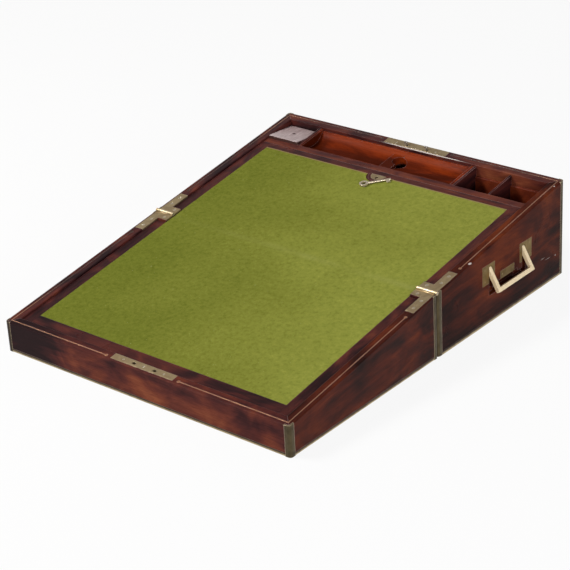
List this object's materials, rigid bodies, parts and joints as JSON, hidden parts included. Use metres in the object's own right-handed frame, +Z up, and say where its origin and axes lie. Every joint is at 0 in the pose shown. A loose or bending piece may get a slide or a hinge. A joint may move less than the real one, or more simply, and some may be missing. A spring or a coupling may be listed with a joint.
{
  "type": "writing slope",
  "caption": "Open campaign writing slope: brass-bound mahogany box with felt-lined folding slope, lift-up flaps, pen tray, small wells, lidded ink well, box lock, key and flush side handles.",
  "frame": {"origin": "on the table below the hinge line, midway between the sides", "axes": "+X to the writer's right, +Y up the slope towards the back wall, +Z up"},
  "size_m": [0.4864, 0.566, 0.1361],
  "materials": {
    "carcass_wood": "french-polished dark mahogany, worn at the edges",
    "flap_wood": "polished dark mahogany",
    "inner_wood": "thinly polished mahogany",
    "felt": "olive green felt with a short nap",
    "plate_brass": "dull brass with a brown patina",
    "strip_brass": "dull brass strip, rubbed brighter on its edge",
    "inlay_brass": "fine brass line, polished level with the wood",
    "bail_brass": "bright brass, satin from handling",
    "screw_metal": "rubbed bright",
    "lock_steel": "old filed steel"
  },
  "bodies": {
    "base": {"base_back_wall": "carcass_wood", "base_bottom": "inner_wood", "base_corner_strips": "strip_brass", "base_edge_strips": "strip_brass", "base_flap_ledges": "inner_wood", "base_front_wall": "carcass_wood", "base_hinge_leaves": "plate_brass", "base_hinge_screws": "screw_metal", "base_left_side": "carcass_wood", "base_right_side": "carcass_wood", "base_stringing": "inlay_brass", "compartment_dividers": "inner_wood", "compartment_floor": "inner_wood", "compartment_rail": "flap_wood", "hinge_pins": "lock_steel", "ink_lid_pins": "lock_steel", "keyhole_escutcheon": "plate_brass", "left_bail_pins": "lock_steel", "left_handle_cup": "plate_brass", "left_handle_ears": "plate_brass", "left_handle_screws": "screw_metal", "lock_case": "lock_steel", "lock_screws": "screw_metal", "lock_selvedge": "plate_brass", "right_bail_pins": "lock_steel", "right_handle_cup": "plate_brass", "right_handle_ears": "plate_brass", "right_handle_screws": "screw_metal", "tray_bearers": "inner_wood", "well_linings": "inner_wood"},
    "lid": {"lid_left_side": "carcass_wood", "lid_right_side": "carcass_wood", "lid_front_wall": "carcass_wood", "lid_rear_wall": "carcass_wood", "lid_bottom": "inner_wood", "lid_flap_ledges": "inner_wood", "lid_stringing": "inlay_brass", "lid_corner_strips": "strip_brass", "lid_edge_strips": "strip_brass", "lid_hinge_leaves": "plate_brass", "lid_hinge_screws": "screw_metal", "strike_plate": "plate_brass", "strike_screws": "screw_metal"},
    "upper_flap": {"upper_flap_board": "flap_wood", "upper_felt": "felt", "flap_lock_plate": "plate_brass", "flap_lock_case": "lock_steel"},
    "lower_flap": {"lower_flap_board": "flap_wood", "lower_felt": "felt"},
    "ink_lid_body": {"ink_lid": "inner_wood"},
    "right_bail_body": {"right_bail": "bail_brass"},
    "left_bail_body": {"left_bail": "bail_brass"},
    "lock_bolt_body": {"lock_bolt": "lock_steel"},
    "flap_bolt_body": {"flap_bolt": "lock_steel"},
    "pen_tray_body": {"pen_tray": "inner_wood"},
    "key_body": {"key": "lock_steel"}
  },
  "joints": [
    {"name": "lid_hinge", "type": "hinge", "parent": "base", "child": "lid", "pos_m": [0, 0, 0.0865], "axis": [1, 0, 0], "range_deg": [-180, 0]},
    {"name": "upper_flap_hinge", "type": "hinge", "parent": "base", "child": "upper_flap", "pos_m": [0, 0.00036, 0.08423], "axis": [1, 0, 0], "range_deg": [0, 75]},
    {"name": "lower_flap_hinge", "type": "hinge", "parent": "lid", "child": "lower_flap", "pos_m": [0, 0.00036, 0.08423], "axis": [-1, 0, 0], "range_deg": [0, 75]},
    {"name": "ink_lid_pivot", "type": "hinge", "parent": "base", "child": "ink_lid_body", "pos_m": [-0.187, 0.25517, 0.11841], "axis": [-1, 0, 0], "range_deg": [-12, 50]},
    {"name": "right_bail_pivot", "type": "hinge", "parent": "base", "child": "right_bail_body", "pos_m": [0.225, 0.151, 0.0735], "axis": [0, -1, 0], "range_deg": [-29, 61]},
    {"name": "left_bail_pivot", "type": "hinge", "parent": "base", "child": "left_bail_body", "pos_m": [-0.225, 0.151, 0.0735], "axis": [0, 1, 0], "range_deg": [-29, 61]},
    {"name": "lock_bolt_slide", "type": "slide", "parent": "base", "child": "lock_bolt_body", "axis": [1, 0, 0], "range_m": [0, 0.0025]},
    {"name": "flap_bolt_slide", "type": "slide", "parent": "upper_flap", "child": "flap_bolt_body", "axis": [0, 0.9873, 0.1587], "range_m": [0, 0.0045]},
    {"name": "pen_tray_lift", "type": "slide", "parent": "base", "child": "pen_tray_body", "axis": [0, 0, 1], "range_m": [0, 0.03]},
    {"name": "key_lift", "type": "slide", "parent": "upper_flap", "child": "key_body", "axis": [0, -0.1587, 0.9873], "range_m": [0, 0.04]}
  ]
}
